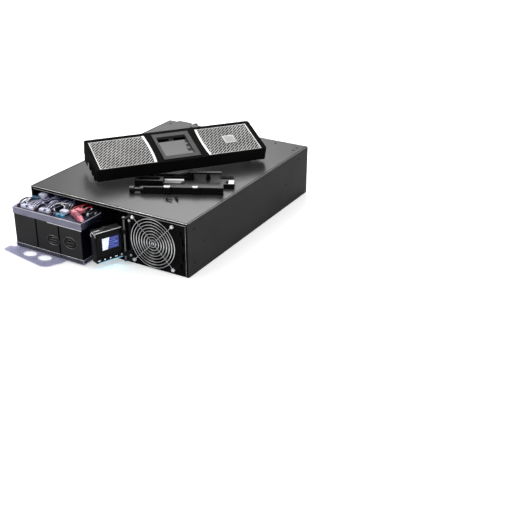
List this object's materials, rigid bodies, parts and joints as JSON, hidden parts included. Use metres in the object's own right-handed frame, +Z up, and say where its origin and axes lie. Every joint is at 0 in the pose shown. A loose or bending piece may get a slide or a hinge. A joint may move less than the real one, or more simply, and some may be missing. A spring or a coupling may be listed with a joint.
{
  "type": "rack battery backup unit",
  "caption": "Three-unit rack battery backup: steel chassis with slide-out block battery tray, swing-out display, front fan and a loose grille bezel.",
  "frame": {"origin": "centre of the chassis base, mid width and mid depth, on the floor plane", "axes": "+Z up, +Y to the rear of the unit, +X to the right seen from the front"},
  "size_m": [0.452, 0.7367, 0.2047],
  "materials": {
    "steel_black": "textured black powder coat",
    "lid_black": "satin dark grey powder coat",
    "galvanised": "zinc plate",
    "chrome_wire": "bright nickel plate",
    "black_plastic": "fine moulded texture",
    "gloss_black": "polished",
    "battery_grey": "moulded ABS",
    "clear_violet": "clear violet film",
    "clear_film": "clear plastic",
    "lens": "smoked gloss",
    "lcd": "lit display",
    "light": "lit bar",
    "white_plastic": "nylon",
    "blue_plastic": "nylon",
    "red_plastic": "polycarbonate",
    "dark_red": "nylon",
    "cable": "PVC jacket",
    "board": "solder mask",
    "aluminium": "extruded",
    "capacitor": "sleeve",
    "copper": "enamelled wire",
    "brass": "plain",
    "grille": "perforated silver sheet",
    "frame_grey": "satin grey",
    "badge": "brushed blank plate"
  },
  "bodies": {
    "chassis": {"base_pan": "steel_black", "top_cover": "lid_black", "front_panel": "steel_black", "bay_divider": "steel_black", "tray_rails": "white_plastic", "chassis_screws": "steel_black", "fan_frame": "black_plastic", "fan_guard": "chrome_wire", "fan_screws": "chrome_wire", "display_bracket": "galvanised", "display_hinge_pin": "chrome_wire", "bracket_screws": "chrome_wire", "power_board": "board", "board_standoffs": "galvanised", "heatsinks": "aluminium", "capacitors": "capacitor", "inductors": "copper", "battery_socket": "black_plastic", "rear_panel": "steel_black", "outlets": "black_plastic", "terminal_block": "black_plastic", "terminal_cover": "galvanised", "cable_gland": "black_plastic", "comm_card": "steel_black", "input_breaker": "black_plastic"},
    "fan_rotor": {"fan_rotor": "black_plastic"},
    "breaker_toggle": {"breaker_toggle": "black_plastic"},
    "battery_tray": {"tray_shell": "clear_violet", "battery_cases": "battery_grey", "battery_lids": "battery_grey", "battery_terminals": "brass", "jumper_wires": "cable", "wiring_cover": "clear_film", "white_connectors": "white_plastic", "blue_connectors": "blue_plastic", "red_connector": "red_plastic", "main_cable": "cable", "terminal_caps": "dark_red"},
    "pull_tab": {"pull_tab": "clear_violet"},
    "display": {"display_shell": "black_plastic", "display_back": "black_plastic", "display_lens": "lens", "lcd_panel": "lcd", "display_board": "board", "light_bar": "light"},
    "bezel": {"bezel_frame": "black_plastic", "bezel_grilles": "grille", "centre_frame": "frame_grey", "badge_plate": "badge"},
    "stand_foot_front": {"stand_foot_front": "black_plastic", "foot_clips": "white_plastic"},
    "stand_foot_back": {"stand_foot_back": "black_plastic"},
    "stand_spacers": {"stand_spacers": "black_plastic", "steel_links": "galvanised"},
    "loose_screws": {"loose_screws": "steel_black"},
    "key_escape": {"key_escape": "gloss_black"},
    "key_up": {"key_up": "gloss_black"},
    "key_down": {"key_down": "gloss_black"},
    "key_enter": {"key_enter": "gloss_black"},
    "key_power": {"key_power": "gloss_black"}
  },
  "joints": [
    {"name": "tray_slide", "type": "slide", "parent": "chassis", "child": "battery_tray", "axis": [0, -1, 0], "range_m": [-0.07, 0.34]},
    {"name": "pull_tab_fold", "type": "hinge", "parent": "battery_tray", "child": "pull_tab", "pos_m": [0, -0.3627, 0.0027], "axis": [-1, 0, 0], "range_deg": [0, 90]},
    {"name": "display_swing", "type": "hinge", "parent": "chassis", "child": "display", "pos_m": [0.061, -0.306, 0], "axis": [0, 0, 1], "range_deg": [-67.7, 30]},
    {"name": "fan_spin", "type": "hinge", "parent": "chassis", "child": "fan_rotor", "pos_m": [0.1277, -0.2884, 0.0634], "axis": [0, 1, 0], "continuous": true},
    {"name": "breaker_throw", "type": "hinge", "parent": "chassis", "child": "breaker_toggle", "pos_m": [0.06, 0.2895, 0.044], "axis": [1, 0, 0], "range_deg": [0, 44]},
    {"name": "bezel_lift", "type": "slide", "parent": "chassis", "child": "bezel", "axis": [0, 0, 1], "range_m": [0, 0.15]},
    {"name": "front_foot_lift", "type": "slide", "parent": "chassis", "child": "stand_foot_front", "axis": [0, 0, 1], "range_m": [0, 0.1]},
    {"name": "back_foot_slide", "type": "slide", "parent": "chassis", "child": "stand_foot_back", "axis": [-0.8805, -0.4741, 0], "range_m": [0, 0.05]},
    {"name": "spacers_lift", "type": "slide", "parent": "chassis", "child": "stand_spacers", "axis": [0, 0, 1], "range_m": [0, 0.08]},
    {"name": "screws_lift", "type": "slide", "parent": "chassis", "child": "loose_screws", "axis": [0, 0, 1], "range_m": [0, 0.05]},
    {"name": "key_escape_press", "type": "slide", "parent": "display", "child": "key_escape", "axis": [-0.9252, 0.3795, 0], "range_m": [0, 0.0006]},
    {"name": "key_up_press", "type": "slide", "parent": "display", "child": "key_up", "axis": [-0.9252, 0.3795, 0], "range_m": [0, 0.0006]},
    {"name": "key_down_press", "type": "slide", "parent": "display", "child": "key_down", "axis": [-0.9252, 0.3795, 0], "range_m": [0, 0.0006]},
    {"name": "key_enter_press", "type": "slide", "parent": "display", "child": "key_enter", "axis": [-0.9252, 0.3795, 0], "range_m": [0, 0.0006]},
    {"name": "key_power_press", "type": "slide", "parent": "display", "child": "key_power", "axis": [-0.9252, 0.3795, 0], "range_m": [0, 0.0006]}
  ]
}
